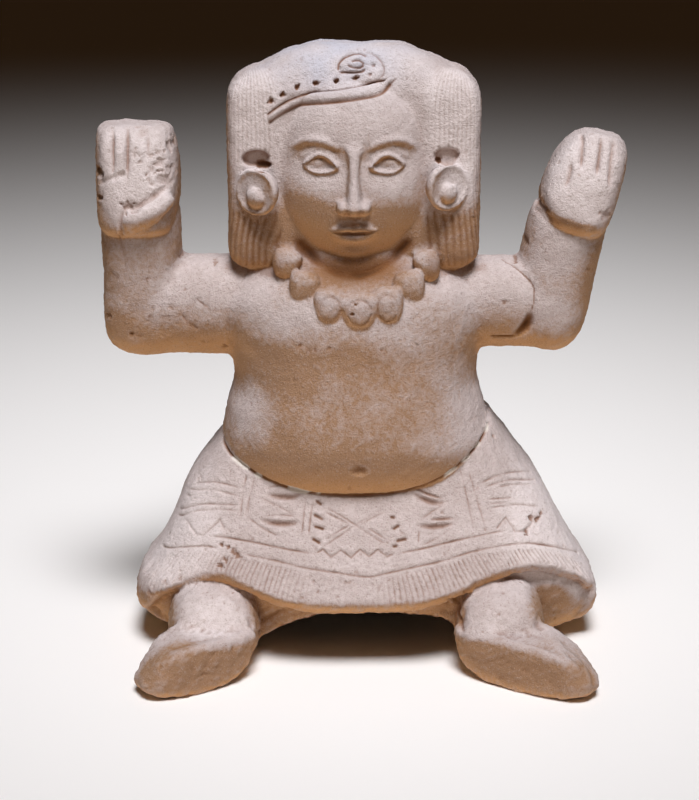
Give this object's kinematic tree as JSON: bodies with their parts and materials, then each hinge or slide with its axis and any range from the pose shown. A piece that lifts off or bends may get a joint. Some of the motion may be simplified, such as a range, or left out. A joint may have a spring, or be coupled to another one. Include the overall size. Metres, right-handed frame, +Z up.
{
  "type": "seated figure",
  "caption": "Seated fired-clay figure with both hands raised, ear discs, bead necklace and a patterned skirt over spread knees.",
  "frame": {"origin": "on the ground, under the middle of the figure's box", "axes": "+Z up; the figure faces -Y; +X is on the viewer's right"},
  "size_m": [0.172, 0.1056, 0.2],
  "materials": {
    "fired_clay": "matt, unglazed, sandy fired clay with worn slip and a little dried mending glue"
  },
  "bodies": {
    "root": {"seated_figure": "fired_clay"}
  },
  "joints": []
}
